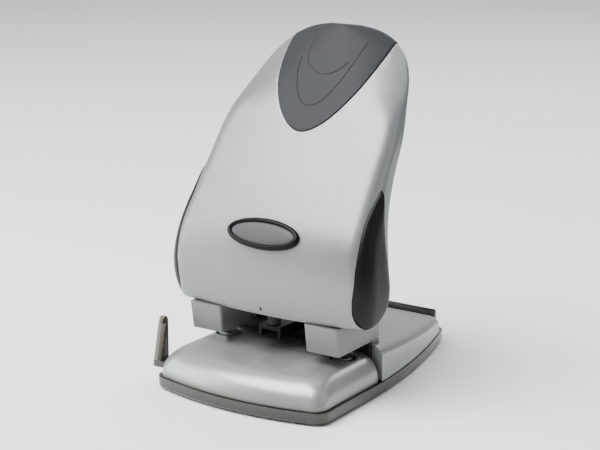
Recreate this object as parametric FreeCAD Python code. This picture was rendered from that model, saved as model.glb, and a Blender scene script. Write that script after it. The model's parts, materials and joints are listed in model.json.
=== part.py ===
import FreeCAD, Part
import math
import os

# A heavy-duty two-hole desk punch, in millimetres.
# Origin: on the table, midway between the two punch pins. +X right, +Y towards the back, +Z up.
V = FreeCAD.Vector
os.makedirs("parts", exist_ok=True)

# ---- driving dimensions ------------------------------------------------------------------
PIN_SPACING = 80.0        # centre to centre of the two holes
PIN_R = 3.0               # punch pin radius
HOLE_MARGIN = 12.0        # hole centre to the paper's edge, which lies on the back stop
THROAT = 6.9              # gap that the paper goes into
TABLE_Z = 24.4            # top of the paper table
STROKE_DEG = 60.0         # how far the handle is pushed back
CAM_LIFT = 9.0            # pin travel per radian of handle travel
CAM_HUB = 9.0             # cam hub radius, and the height of the cam over the pin at rest
AXLE_Z = 66.0             # height of the handle's axle
AXLE_R = 4.0

BASE_HALF_W = 58.5        # half the base's width
BASE_FRONT = 57.3         # front edge to the pin line, at the middle
BASE_BACK = 124.0         # rear edge to the pin line
BASE_BACK_HALF_W = 37.5   # half the base's width at the rear edge
FRONT_ARC_R = 178.0       # radius of the base's curved front edge
TRAY_Z = 1.2              # underside of the chip tray, and the height of the feet
RIM_Z = 7.6               # top of the tray's rim
WALL = 2.2                # covers' wall
TRAY_WALL = 1.8
COVER_EDGE_R = 7.0        # soft top edges of the two covers
REAR_TOP_FRONT = 28.4     # rear cover's top where it meets the paper table
REAR_TOP_BACK = 17.0      # rear cover's top at its rear edge

HEAD_W = 22.2             # width of one punch head
HEAD_FRONT = 21.0         # head's front face to the pin line
HEAD_TOP = 47.7
EAR_T = 5.0               # thickness of the ears that carry the axle
EAR_R = 9.6
PLATE_T = 3.0             # steel chassis plate
PLATE_Z = 15.0            # underside of the chassis plate

HANDLE_TOP = 203.5
HANDLE_WALL = 3.0
HANDLE_EDGE_Z = 48.0      # the handle's lower edge over the heads
HANDLE_MAX_W = 67.0       # half the handle's width at its widest, just above the heads
LOBE_R = 20.5             # lowest point of the handle's side lobes, below the axle
LOBE_CORNER_R = 17.0      # front-view radius of the handle's lower corners
PAD_T = 2.0               # rubber pad and side inserts, depth of their recess
INSERT_RY = 14.5          # the side inserts' round lower end, half its width and its depth below the axle
INSERT_RZ = 18.0
INSERT_BULGE = 1.8        # how far the side inserts stand proud
BADGE_LONG = 24.5
BADGE_SHORT = 9.2
BADGE_Z = 95.0

GUIDE_T = 3.0             # paper guide's finger thickness
GUIDE_TOP = 38.0
GUIDE_OUT = 66.7          # finger's outer face to the middle of the base
GUIDE_Y = 33.4            # guide bar's centre in front of the pin line
GUIDE_W = 10.8            # finger and bar width

# ---- clearances --------------------------------------------------------------------------
RUN = 0.05                # radial, shafts and pins in their bores
GAP = 0.3                 # between faces that move past each other
TOUCH = 0.03              # between the cam and the pin's cap
FIT = 0.15                # round inserts and pads that sit in a recess

# ---- worked out from those ---------------------------------------------------------------
PIN_X = PIN_SPACING / 2
STROKE = math.radians(STROKE_DEG)
PIN_STROKE = CAM_LIFT * STROKE
AXLE_Y = -CAM_LIFT                          # the cam pushes straight down on the pin's centre
PIN_TOP = AXLE_Z - CAM_HUB - TOUCH
HEAD_Z = TABLE_Z + THROAT
STOP_Y = HOLE_MARGIN
STOP_T = 2.5
NECK_Y = STOP_Y + STOP_T
NECK_D = 11.5
PLATE_TOP = PLATE_Z + PLATE_T
COVER_Z = RIM_Z + GAP
SEAM = 3.5                                  # open groove between the two covers
REAR_Y = STOP_Y + SEAM
CAP_R = 5.2
CAP_T = 3.0
SPRING_SEAT = HEAD_Z + 8.7
CAM_T = 7.0
EAR_X = HEAD_W / 2 - EAR_T / 2              # ear's centre from the pin's centre
LEVER_X = PIN_X + CAM_T / 2                 # the lever plate's flanges lie on the cams' outer faces
LEVER_T = 2.5
HANDLE_OPEN = PIN_X + HEAD_W / 2 + 0.9      # half width of the handle's open underside


# ---- small helpers -----------------------------------------------------------------------
def save(name, shape):
    shape.exportStep("parts/" + name + ".step")
    print(name, len(shape.Solids), round(shape.Volume, 1), shape.isValid())


def box(x0, x1, y0, y1, z0, z1):
    return Part.makeBox(x1 - x0, y1 - y0, z1 - z0, V(x0, y0, z0))


def rod_x(radius, x0, x1, y, z):
    return Part.makeCylinder(radius, x1 - x0, V(x0, y, z), V(1, 0, 0))


def rod_z(radius, x, y, z0, z1):
    return Part.makeCylinder(radius, z1 - z0, V(x, y, z0), V(0, 0, 1))


def join(shapes):
    whole = shapes[0]
    for shape in shapes[1:]:
        whole = whole.fuse(shape)
    return whole.removeSplitter()


def group(shapes):
    return Part.makeCompound(shapes)


def mirrored(shape):
    return shape.mirror(V(0, 0, 0), V(1, 0, 0))


def face_of(edges):
    return Part.Face(Part.Wire(Part.__sortEdges__(edges)))


def polygon_face(points):
    return Part.Face(Part.makePolygon(points + [points[0]]))


def arc(a, b, c):
    return Part.Arc(V(*a), V(*b), V(*c)).toShape()


def line(a, b):
    return Part.makeLine(V(*a), V(*b))


def slab_x(points, x0, x1):
    """A straight-edged (y, z) outline, from x0 to x1."""
    return polygon_face([V(x0, y, z) for y, z in points]).extrude(V(x1 - x0, 0, 0))


def round_edges(shape, radius, wanted):
    """Fillet the edges whose middle and direction the test accepts."""
    edges = []
    for edge in shape.Edges:
        middle = edge.valueAt((edge.FirstParameter + edge.LastParameter) / 2)
        if wanted(edge, middle):
            edges.append(edge)
    return shape.makeFillet(radius, edges)


def upright(edge):
    a, b = edge.Vertexes[0].Point, edge.Vertexes[-1].Point
    return abs(a.z - b.z) > 0.9 * edge.Length and len(edge.Vertexes) == 2


# ---- base outline ------------------------------------------------------------------------
def front_y(x, inset):
    return -BASE_FRONT + inset + x * x / (2 * FRONT_ARC_R)


def side_x(y, inset):
    """The sides run straight to the pin line, then draw in along a parabola."""
    fall = (BASE_HALF_W - BASE_BACK_HALF_W) * (max(y, 0) / BASE_BACK) ** 2
    return BASE_HALF_W - inset - fall


def base_prism(inset, y_front, y_back, z0, z1, corner_r):
    """The base's outline, drawn in by inset, between two values of y; None keeps the real end."""
    w = BASE_HALF_W - inset
    back = BASE_BACK - inset if y_back is None else y_back
    wb, wm = side_x(back, inset), side_x(back / 2, inset)
    if y_front is None:
        yf = front_y(w, inset)
        front = arc((-w, yf, z0), (0, front_y(0, inset), z0), (w, yf, z0))
    else:
        yf = y_front
        front = line((-w, yf, z0), (w, yf, z0))
    start = max(yf, 0)
    edges = [front]
    for s in (1, -1):
        if yf < 0:
            edges.append(line((s * w, yf, z0), (s * w, 0, z0)))
        middle = side_x((start + back) / 2, inset)
        ws = side_x(start, inset)
        edges.append(arc((s * ws, start, z0), (s * middle, (start + back) / 2, z0), (s * wb, back, z0)))
        if y_front is not None and yf > 0:
            edges[0] = line((-ws, yf, z0), (ws, yf, z0))
    edges.append(line((-wb, back, z0), (wb, back, z0)))
    prism = face_of(edges).extrude(V(0, 0, z1 - z0))
    if y_front is None:
        prism = round_edges(prism, corner_r, lambda e, m: upright(e) and m.y < yf + 1)
    if y_back is None:
        prism = round_edges(prism, corner_r, lambda e, m: upright(e) and m.y > back - 1)
    return prism


# ---- covers ------------------------------------------------------------------------------
def front_cover_block(inset, top, edge_r):
    # the paper table: flat on top, soft at the front and side edges
    block = base_prism(1.7 + inset, None, STOP_Y - inset, COVER_Z - 1, top, 8.0)
    return round_edges(block, edge_r, lambda e, m: m.z > top - 0.01 and m.y < STOP_Y - inset - 0.5)


def front_cover():
    outer = front_cover_block(0, TABLE_Z, COVER_EDGE_R)
    inner = front_cover_block(WALL, TABLE_Z - WALL, COVER_EDGE_R - WALL)
    inner = inner.cut(box(-200, 200, -200, 200, -5, COVER_Z - 3))
    outer = outer.cut(box(-200, 200, -200, 200, -5, COVER_Z))
    cover = outer.cut(inner)
    tongue_w = BASE_HALF_W - 4.0
    room = PLATE_HALF_W + GAP
    cover = cover.cut(box(-room, room, STOP_Y - WALL - 1, STOP_Y + 1, COVER_Z - 1, FOOT_TOP + GAP))
    sides = [box(s * tongue_w - 1.5, s * tongue_w + 1.5, STOP_Y - WALL, REAR_Y - GAP, COVER_Z, TABLE_Z - 2.2)
             for s in (1, -1)]
    bosses = [rod_z(4.0, x, y, PLATE_TOP, TABLE_Z - WALL + 0.5) for x, y in FRONT_SCREWS]
    cover = join([cover] + sides + bosses)
    cuts = [rod_z(1.3, x, y, PLATE_TOP - 1, PLATE_TOP + 4.0) for x, y in FRONT_SCREWS]
    for s in (1, -1):
        cuts.append(rod_z(DIE_R + FIT, s * PIN_X, 0, 0, TABLE_Z + 1))
    # the guide bar comes out through the left wall
    cuts.append(box(-BASE_HALF_W - 5, -BASE_HALF_W + 8, -GUIDE_Y - GUIDE_W / 2 - GAP,
                    -GUIDE_Y + GUIDE_W / 2 + GAP, COVER_Z - 1, BAR_TOP + GAP))
    # the back stop stands in a slot behind the table
    cuts.append(box(-STOP_HALF_W - FIT, STOP_HALF_W + FIT, STOP_Y - 0.01, NECK_Y + FIT, PLATE_TOP, TABLE_Z + 1))
    cuts += neck_openings()
    return cover.cut(group(cuts))


def neck_openings():
    half = NECK_HALF_W + GAP
    return [box(s * PIN_X - half, s * PIN_X + half, STOP_Y, NECK_Y + NECK_D + GAP, PLATE_Z - 9, 60)
            for s in (1, -1)]


def rear_cover_block(inset, drop, edge_r):
    # the rear cover's top slopes down to the rear edge
    back = BASE_BACK - 6.5
    block = base_prism(0.5 + inset, REAR_Y + inset, back - inset, COVER_Z - 1, REAR_TOP_FRONT + 5, 0)
    slope = (REAR_TOP_FRONT - REAR_TOP_BACK) / (back - REAR_Y)
    y0, y1 = REAR_Y - 20, back + 20
    top = [(y0, REAR_TOP_FRONT - drop + 20 * slope), (y1, REAR_TOP_BACK - drop - 20 * slope),
           (y1, REAR_TOP_FRONT + 60), (y0, REAR_TOP_FRONT + 60)]
    block = block.cut(slab_x(top, -100, 100))
    block = round_edges(block, 9.0, lambda e, m: upright(e) and m.y > back - inset - 1)
    return round_edges(block, edge_r, lambda e, m: m.z > REAR_TOP_BACK - drop - 3 and m.y > REAR_Y + inset + 1
                       and not upright(e))


def rear_cover():
    outer = rear_cover_block(0, 0, COVER_EDGE_R - 1)
    inner = rear_cover_block(WALL, WALL, COVER_EDGE_R - 1 - WALL)
    outer = outer.cut(box(-200, 200, -200, 200, -5, COVER_Z))
    cover = outer.cut(inner)
    bosses = [rod_z(4.0, x, y, PLATE_TOP, REAR_TOP_FRONT - 5.5) for x, y in REAR_SCREWS]
    cover = join([cover] + bosses)
    cuts = [rod_z(1.3, x, y, PLATE_TOP - 1, PLATE_TOP + 4.0) for x, y in REAR_SCREWS]
    cuts += neck_openings()
    room = PLATE_HALF_W + GAP
    cuts.append(box(-room, room, REAR_Y - 1, REAR_Y + WALL + 1, COVER_Z - 1, FOOT_TOP + GAP))
    return cover.cut(group(cuts))


# ---- chassis, dies and heads -------------------------------------------------------------
DIE_R = 6.0
NECK_HALF_W = 8.5
STOP_HALF_W = 51.0
FOOT_TOP = PLATE_TOP + 2.0
PLATE_HALF_W = 50.0
PLATE_REAR_HALF_W = 42.0
BAR_Z = 8.8
BAR_TOP = 12.6
FRONT_SCREWS = [(-20, -10), (20, -10)]
REAR_SCREWS = [(-20, 50), (20, 50)]
HEAD_SCREWS = [(s * PIN_X + d, NECK_Y + NECK_D / 2) for s in (1, -1) for d in (-4.2, 4.2)]


def chassis_plate():
    w, wr = PLATE_HALF_W, PLATE_REAR_HALF_W
    outline = [(-w, -16), (w, -16), (w, 28), (wr, 62), (-wr, 62), (-w, 28)]
    plate = polygon_face([V(x, y, PLATE_Z) for x, y in outline]).extrude(V(0, 0, PLATE_T))
    plate = round_edges(plate, 6, lambda e, m: upright(e))
    cuts = [rod_z(DIE_R + FIT, s * PIN_X, 0, 0, 40) for s in (1, -1)]
    cuts += [rod_z(2.6, x, y, 0, 40) for x, y in HEAD_SCREWS]
    cuts += [rod_z(1.7, x, y, 0, 40) for x, y in FRONT_SCREWS + REAR_SCREWS]
    cuts.append(box(-18, 18, 22, 42, 0, 40))
    return plate.cut(group(cuts))


def die(x):
    # hardened bush: flanged below, its cutting edge flush with the paper table
    bush = rod_z(DIE_R, x, 0, PLATE_Z - 2.0, TABLE_Z - 0.05)
    bush = bush.fuse(rod_z(DIE_R + 2, x, 0, PLATE_Z - 2.0, PLATE_Z - 0.02))
    bore = rod_z(PIN_R + RUN, x, 0, 0, 40).fuse(rod_z(PIN_R + 1.2, x, 0, 0, TABLE_Z - 4))
    return bush.cut(bore)


def back_stop():
    # black steel plate that the paper's edge meets, with a bridge between the heads
    low = box(-STOP_HALF_W, STOP_HALF_W, STOP_Y, NECK_Y, PLATE_TOP, HEAD_Z - 0.1)
    high = box(-PIN_X + HEAD_W / 2 + 0.2, PIN_X - HEAD_W / 2 - 0.2, STOP_Y, NECK_Y, PLATE_TOP, HEAD_Z + 8)
    foot = box(-26, 26, STOP_Y, REAR_Y + 8, PLATE_TOP, FOOT_TOP)
    return join([low, high, foot])


def lever_stop():
    # bracket under the middle of the handle, which carries the rubber stop
    foot = box(-7.5, 7.5, NECK_Y - STOP_T - 3.0, STOP_Y, HEAD_Z + 1, HEAD_Z + 7.5)
    arm = box(-7.5, 7.5, AXLE_Y - 6, STOP_Y, HEAD_Z + 5.5, HEAD_Z + 8)
    wings = [box(s * 6.5 - 1.0, s * 6.5 + 1.0, AXLE_Y - 6, STOP_Y, HEAD_Z + 1, HEAD_Z + 8) for s in (1, -1)]
    return join([foot, arm] + wings).cut(rod_z(2.0, 0, AXLE_Y - 1, 0, 60))


def stop_bumper():
    body = rod_z(4.0, 0, AXLE_Y - 1, HEAD_Z + 8, HEAD_Z + 12.5)
    stem = rod_z(1.9, 0, AXLE_Y - 1, HEAD_Z + 4.0, HEAD_Z + 8)
    return body.fuse(stem)


def punch_head(side):
    x0, x1 = PIN_X - HEAD_W / 2, PIN_X + HEAD_W / 2
    lean = 2.4                                  # the front face leans out to meet the handle
    outline = [(-HEAD_FRONT, HEAD_Z), (STOP_Y, HEAD_Z), (STOP_Y, HEAD_TOP), (-HEAD_FRONT - lean, HEAD_TOP)]
    block = slab_x(outline, x0, x1)
    block = round_edges(block, 1.6, lambda e, m: abs(m.y + HEAD_FRONT + lean / 2) < 0.4 and e.Length > 12
                        and (m.x < x0 + 0.1 or m.x > x1 - 0.1))
    neck = box(PIN_X - NECK_HALF_W, PIN_X + NECK_HALF_W, STOP_Y - 4, NECK_Y + NECK_D, HEAD_Z, HEAD_TOP - 4)
    leg = box(PIN_X - NECK_HALF_W, PIN_X + NECK_HALF_W, NECK_Y + FIT, NECK_Y + NECK_D, PLATE_TOP, HEAD_Z + 1)
    ears = []
    for s in (1, -1):
        ex = PIN_X + s * EAR_X
        ears.append(rod_x(EAR_R, ex - EAR_T / 2, ex + EAR_T / 2, AXLE_Y, AXLE_Z))
        ears.append(box(ex - EAR_T / 2, ex + EAR_T / 2, AXLE_Y - EAR_R + 3, AXLE_Y + EAR_R, HEAD_TOP - 1, AXLE_Z))
    head = join([block, neck, leg] + ears)
    slot = EAR_X - EAR_T / 2
    cuts = [rod_z(PIN_R + RUN, PIN_X, 0, 0, 60), rod_z(CAP_R + 0.5, PIN_X, 0, SPRING_SEAT, 60),
            box(PIN_X - slot, PIN_X + slot, -16, STOP_Y + 30, HEAD_TOP - 1.8, 80),
            rod_x(AXLE_R + RUN, x0 - 5, x1 + 5, AXLE_Y, AXLE_Z)]
    cuts += [rod_z(2.1, x, y, 0, PLATE_TOP + 10) for x, y in HEAD_SCREWS if x > 0]
    head = head.cut(group(cuts))
    return head if side > 0 else mirrored(head)


def screw(x, y, seat, head_r, shank_r, length):
    """A pan-head screw driven upwards, its head under seat, with a hexagon socket."""
    body = rod_z(head_r, x, y, seat - 2.4, seat - 0.02).fuse(rod_z(shank_r, x, y, seat - 0.02, seat + length))
    socket = [V(x + head_r * 0.5 * math.cos(math.pi * k / 3), y + head_r * 0.5 * math.sin(math.pi * k / 3),
                seat - 2.5) for k in range(6)]
    return body.cut(polygon_face(socket).extrude(V(0, 0, 1.5)))


def head_screws():
    return group([screw(x, y, PLATE_Z, 4.0, 2.0, PLATE_T + 9) for x, y in HEAD_SCREWS])


def cover_screws():
    return group([screw(x, y, PLATE_Z, 2.8, 1.2, PLATE_T + 3.5) for x, y in FRONT_SCREWS + REAR_SCREWS])


# ---- axle, cams and pins -----------------------------------------------------------------
AXLE_END = PIN_X + HEAD_W / 2 + 2.6


def axle():
    rod = rod_x(AXLE_R, -AXLE_END, AXLE_END, AXLE_Y, AXLE_Z)
    for s in (1, -1):
        x = s * (AXLE_END - 1.4)
        ring = rod_x(AXLE_R + 1, x - 0.5, x + 0.5, AXLE_Y, AXLE_Z)
        rod = rod.cut(ring.cut(rod_x(AXLE_R - 0.7, x - 1, x + 1, AXLE_Y, AXLE_Z)))
    return rod


def axle_clips():
    clips = []
    for s in (1, -1):
        x = s * (AXLE_END - 1.4)
        clip = rod_x(AXLE_R + 2.6, x - 0.45, x + 0.45, AXLE_Y, AXLE_Z)
        clip = clip.cut(rod_x(AXLE_R - 0.68, x - 1, x + 1, AXLE_Y, AXLE_Z))
        clips.append(clip.cut(box(x - 1, x + 1, AXLE_Y - 1.8, AXLE_Y + 1.8, AXLE_Z - 12, AXLE_Z)))
    return group(clips)


def axle_spacers():
    spacers = []
    slot, half = EAR_X - EAR_T / 2, CAM_T / 2
    for x in (-PIN_X, PIN_X):
        for s in (1, -1):
            lo, hi = sorted((x + s * (half + 0.1), x + s * (slot - 0.02)))
            ring = rod_x(AXLE_R + 2.5, lo, hi, AXLE_Y, AXLE_Z)
            spacers.append(ring.cut(rod_x(AXLE_R + RUN, lo - 1, hi + 1, AXLE_Y, AXLE_Z)))
    return group(spacers)


def cam_point(turn):
    """Where a flat pin top touches the cam after the handle has turned by this much."""
    reach = CAM_HUB + CAM_LIFT * turn
    y = reach * math.sin(turn) + CAM_LIFT * math.cos(turn)
    z = -reach * math.cos(turn) + CAM_LIFT * math.sin(turn)
    return (AXLE_Y + y, AXLE_Z + z)


def cam(x):
    # the involute lobe drives the pin down in step with the handle; the arm carries the lever plate
    x0 = x - CAM_T / 2
    last = STROKE + math.radians(4)
    points = [V(x0, *cam_point(last * k / 12)) for k in range(13)]
    lobe = Part.BSplineCurve()
    lobe.interpolate(points)
    arm_top = AXLE_Z + 33
    tail = V(x0, AXLE_Y + 11, AXLE_Z + 9)
    front = AXLE_Y - CAM_HUB
    lean = [V(x0, lever_y(z) + LEVER_T + 0.6, z) for z in (arm_top, 95.0, 81.0)]
    outline = [points[-1], tail, V(x0, AXLE_Y + 10, arm_top)] + lean + [V(x0, front, AXLE_Z)]
    edges = [lobe.toShape()]
    for a, b in zip(outline, outline[1:]):
        edges.append(Part.makeLine(a, b))
    hub_foot = V(x0, AXLE_Y, AXLE_Z - CAM_HUB)
    low = V(x0, AXLE_Y - CAM_HUB * math.sin(math.pi / 4), AXLE_Z - CAM_HUB * math.cos(math.pi / 4))
    edges.append(Part.Arc(outline[-1], low, hub_foot).toShape())
    edges.append(Part.makeLine(hub_foot, points[0]))
    body = face_of(edges).extrude(V(CAM_T, 0, 0))
    bore = rod_x(AXLE_R + 1.5 + RUN, x0 - 1, x0 + CAM_T + 1, AXLE_Y, AXLE_Z)
    return body.cut(bore)


def cam_bush(x):
    half = CAM_T / 2
    ring = rod_x(AXLE_R + 1.5, x - half, x + half, AXLE_Y, AXLE_Z)
    return ring.cut(rod_x(AXLE_R + RUN, x - half - 1, x + half + 1, AXLE_Y, AXLE_Z))


def punch_pin(x):
    # hollow-ground tip: the two sides cut first
    pin = rod_z(PIN_R, x, 0, HEAD_Z + 0.7, PIN_TOP - CAP_T)
    notch = Part.makeCylinder(5.0, 20, V(x, -10, HEAD_Z - 3.4), V(0, 1, 0))
    neck = rod_z(PIN_R - 0.6, x, 0, PIN_TOP - CAP_T, PIN_TOP - 1.0)
    return pin.cut(notch).fuse(neck)


def pin_cap(x):
    # flat cap that the cam runs on and the spring lifts
    cap = rod_z(CAP_R, x, 0, PIN_TOP - CAP_T, PIN_TOP)
    cap = round_edges(cap, 0.5, lambda e, m: True)
    return cap.cut(rod_z(PIN_R - 0.58, x, 0, PIN_TOP - CAP_T - 1, PIN_TOP - 0.98))


def return_spring(x):
    # compression spring between the head and the pin's cap, an arc to each quarter turn
    wire, turns, radius = 0.45, 4.5, CAP_R - 0.9
    bottom = SPRING_SEAT + wire + 0.05
    height = PIN_TOP - CAP_T - wire - 0.05 - bottom
    count = int(turns * 4)

    def at(k):
        angle = math.pi / 2 * k
        return V(x + radius * math.cos(angle), radius * math.sin(angle), bottom + height * k / count)

    edges = [Part.Arc(at(k), at(k + 0.5), at(k + 1)).toShape() for k in range(count)]
    along = edges[0].tangentAt(edges[0].FirstParameter)
    ring = Part.Wire(Part.makeCircle(wire, at(0), along))
    return Part.Wire(edges).makePipeShell([ring], True, False)


# ---- handle ------------------------------------------------------------------------------
# Stations up the handle: height, half width, front surface and depth at the middle.
STATIONS = [(40, 0.93, 1.0, 31), (52, 0.97, -2.8, 32), (66, 1.0, -4.7, 33), (80, 0.99, -4.0, 34),
            (95, 0.955, 0.0, 32.5), (112, 0.93, 11.0, 25.5), (130, 0.905, 23.9, 21.5), (148, 0.88, 37.0, 19),
            (163, 0.82, 47.8, 18.5), (176.8, 0.75, 58.3, 18.5), (186.9, 0.66, 66.2, 17.5), (194.3, 0.54, 72.0, 15.5),
            (198.9, 0.42, 75.6, 13.0), (201.9, 0.29, 78.0, 10.0), (HANDLE_TOP, 0.16, 79.5, 6.5)]
FRONT_SHIFT = HEAD_FRONT            # the stations' depth is measured from the heads' front faces
CROWN = 4.0                         # the front surface falls back this much towards the sides
CORNER_X, CORNER_Y = 11.0, 12.0     # the front corners' size across and back
TOP_CORNER_X = 30.0                 # they widen towards the top, which is nearly round


def station_wire(station, inset):
    z, width, front, depth = station
    w = HANDLE_MAX_W * width - inset
    top_part = max(0, z - 150) / (HANDLE_TOP - 150)
    z = z - inset * top_part ** 2
    yf = front - FRONT_SHIFT + inset * 1.15
    yb = yf + depth - 2.15 * inset
    cx = min(CORNER_X + (TOP_CORNER_X - CORNER_X) * min(1, top_part / 0.65) ** 2, 0.72 * w)
    cy = min(CORNER_Y, 0.5 * (yb - yf))
    crown = CROWN * ((w - cx) / HANDLE_MAX_W) ** 2
    cy = min(cy, 0.75 * (yb - yf - crown))
    r = min(4.0, 0.2 * (yb - yf))
    k = math.sqrt(0.5)
    edges = [arc((-w + cx, yf + crown, z), (0, yf, z), (w - cx, yf + crown, z))]
    for s in (1, -1):
        a, b = (s * (w - cx), yf + crown, z), (s * w, yf + crown + cy, z)
        edges.append(arc(a, (s * (w - cx + cx * k), yf + crown + cy * (1 - k), z), b))
        c, d = (s * w, yb - r, z), (s * (w - r), yb, z)
        edges.append(line(b, c))
        edges.append(arc(c, (s * (w - r + r * k), yb - r + r * k, z), d))
    edges.append(line((w - r, yb, z), (-w + r, yb, z)))
    return Part.Wire(Part.__sortEdges__(edges))


LOFTS = {}


def handle_loft(inset):
    if inset not in LOFTS:
        LOFTS[inset] = Part.makeLoft([station_wire(s, inset) for s in STATIONS], True, False)
    return LOFTS[inset]


def front_profile(inset):
    """Front view of the handle's sides, round at the lower corners, as a block along Y."""
    w, z0, r = HANDLE_MAX_W + 4 - inset, AXLE_Z - LOBE_R + inset, LOBE_CORNER_R - inset
    lean = HANDLE_MAX_W - inset
    k = r * (1 - math.sqrt(0.5))
    edges = [line((-lean + r, -150, z0), (lean - r, -150, z0)), line((-w, -150, 230), (w, -150, 230))]
    for s in (1, -1):
        edges.append(arc((s * (lean - r), -150, z0), (s * (lean - k), -150, z0 + k), (s * lean, -150, z0 + r)))
        edges.append(line((s * lean, -150, z0 + r), (s * w, -150, 230)))
    return face_of(edges).extrude(V(0, 300, 0))


def side_profile(inset):
    """Side view: the lower edge of the side lobes is an arc under the axle, open to the top."""
    a = (-150, AXLE_Y - LOBE_R + inset - 4, AXLE_Z - 10)
    b = (-150, AXLE_Y, AXLE_Z - LOBE_R + inset)
    c = (-150, AXLE_Y + LOBE_R - inset, AXLE_Z - 6)
    high, far = 240, 150
    edges = [arc(a, b, c), line(c, (-150, far, AXLE_Z - 6)), line((-150, far, AXLE_Z - 6), (-150, far, high)),
             line((-150, far, high), (-150, -60, high)), line((-150, -60, high), (-150, -60, AXLE_Z - 10)),
             line((-150, -60, AXLE_Z - 10), a)]
    return face_of(edges).extrude(V(300, 0, 0))


def handle_body(inset):
    return handle_loft(inset).common(front_profile(inset)).common(side_profile(inset))


def rear_zone():
    """Everything behind the middle of the handle's thickness."""
    points = [V(-150, s[2] - FRONT_SHIFT + 0.55 * s[3], s[0]) for s in STATIONS[2:-3]]
    curve = Part.BSplineCurve()
    curve.interpolate(points)
    first, last = points[0], points[-1]
    edges = [curve.toShape(), Part.makeLine(last, V(-150, 150, last.z)),
             Part.makeLine(V(-150, 150, last.z), V(-150, 150, first.z)), Part.makeLine(V(-150, 150, first.z), first)]
    return face_of(edges).extrude(V(300, 0, 0))


BACK_Z0, BACK_Z1 = 76.0, 190.0
INSERT_FRONT_X = 56.0               # the inserts wrap round the front corner to here


def back_opening(inset):
    """Outline of the handle's back cover."""
    w0, w1 = HANDLE_OPEN - 4 - inset, HANDLE_MAX_W * 0.66 - 9 - inset
    z0, z1 = BACK_Z0 + inset, BACK_Z1 - inset
    outline = [V(-w0, -120, z0), V(w0, -120, z0), V(w0, -120, 140), V(w1, -120, z1), V(-w1, -120, z1), V(-w0, -120, 140)]
    block = polygon_face(outline).extrude(V(0, 300, 0))
    return block.common(rear_zone())


def spline_yz(points):
    curve = Part.BSplineCurve()
    curve.interpolate([V(0, y, z) for y, z in points])
    return curve.toShape()


def insert_prism(inset):
    """Teardrop outline of the side inserts, seen from the side: round about the axle, pointed above."""
    ry, rz = INSERT_RY - inset, INSERT_RZ - inset
    tip = (AXLE_Y + 16, AXLE_Z + 57.5 - 2.5 * inset)
    low = (AXLE_Y - 1, AXLE_Z - rz)
    fore = [tip, (AXLE_Y + 6 + inset, AXLE_Z + 49 - inset), (AXLE_Y - 2.2 + inset, AXLE_Z + 37.7),
            (AXLE_Y - 9 + inset, AXLE_Z + 27), (AXLE_Y - ry + 1.2, AXLE_Z + 15.5), (AXLE_Y - ry, AXLE_Z + 2),
            (AXLE_Y - 0.87 * ry, AXLE_Z - 0.62 * rz), low]
    rear = [low, (AXLE_Y + 0.62 * ry, AXLE_Z - 0.77 * rz), (AXLE_Y + ry - 0.6, AXLE_Z),
            (AXLE_Y + ry - 0.4, AXLE_Z + 20), (AXLE_Y + ry + 0.3, AXLE_Z + 36), tip]
    face = face_of([spline_yz(fore), spline_yz(rear)])
    return face.extrude(V(120, 0, 0)).fuse(face.extrude(V(-120, 0, 0)))


def pad_prism(inset):
    """Shield outline of the grip pad, seen from the front, running up over the top."""
    def half(s):
        points = [(0, 147.3 + inset), (s * (8.4 - inset / 2), 149.7 + inset), (s * (16.2 - inset), 155.4),
                  (s * (22.8 - inset), 163), (s * (28.5 - inset), 172), (s * (32.5 - inset), 182),
                  (s * (35.5 - inset), 198), (s * (38 - inset), 215)]
        spline = Part.BSplineCurve()
        spline.interpolate([V(x, -120, z) for x, z in points])
        return spline.toShape()
    edges = [half(1), half(-1), line((-38 + inset, -120, 215), (38 - inset, -120, 215))]
    return face_of(edges).extrude(V(0, 300, 0))


def pad_zone():
    """The pad covers the front and the top, not the handle's back."""
    return box(-100, 100, -100, 200, 120, 260).cut(rear_zone())


def badge_frame():
    """The badge lies on the sloping front; its axis leans back with the surface."""
    lean = math.radians(32)
    centre = V(0, STATIONS[4][2] - FRONT_SHIFT, BADGE_Z)
    return centre, V(0, -math.cos(lean), math.sin(lean))


def oval(long_r, short_r):
    centre, normal = badge_frame()
    up = normal.cross(V(1, 0, 0))
    ellipse = Part.Ellipse(centre + V(1, 0, 0) * long_r, centre - up * short_r, centre)
    face = Part.Face(Part.Wire(ellipse.toShape()))
    face.translate(normal * -15)
    return face.extrude(normal * 30)


def handle_shell():
    wall = handle_body(0)
    hollow = handle_loft(HANDLE_WALL)
    pods = front_profile(HANDLE_WALL).common(side_profile(HANDLE_WALL))
    middle = box(-HANDLE_OPEN, HANDLE_OPEN, -150, 200, 20, 240)
    wall = wall.cut(hollow.common(pods.fuse(middle)))
    # open under and behind the middle, between the two side lobes
    wall = wall.cut(box(-HANDLE_OPEN, HANDLE_OPEN, AXLE_Y + 4, 200, 20, BACK_Z0 - 3))
    wall = wall.cut(box(-HANDLE_OPEN, HANDLE_OPEN, -100, 200, 20, HANDLE_EDGE_Z))
    wall = wall.cut(back_opening(0))
    wall = wall.cut(pad_prism(0).common(pad_zone()).cut(handle_loft(PAD_T)))
    wall = wall.cut(insert_prism(0).cut(handle_loft(PAD_T)).common(outside_band()))
    wall = wall.cut(oval(BADGE_LONG, BADGE_SHORT).cut(handle_loft(1.0)).common(front_band()))
    return wall


def side_zone(side, inset):
    """A side wall with its front corner, out to beyond the handle."""
    x0, x1 = sorted((side * (INSERT_FRONT_X + inset), side * 100))
    return box(x0, x1, -100, 100, 30, 140)


def outside_band():
    return group([side_zone(1, 0), side_zone(-1, 0)])


def front_band():
    return box(-60, 60, -60, AXLE_Y + 5, 70, 120)


def handle_back_cover():
    ring = handle_body(0).cut(handle_loft(HANDLE_WALL))
    plate = ring.common(back_opening(FIT))
    return max(plate.Solids, key=lambda s: s.Volume)


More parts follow.
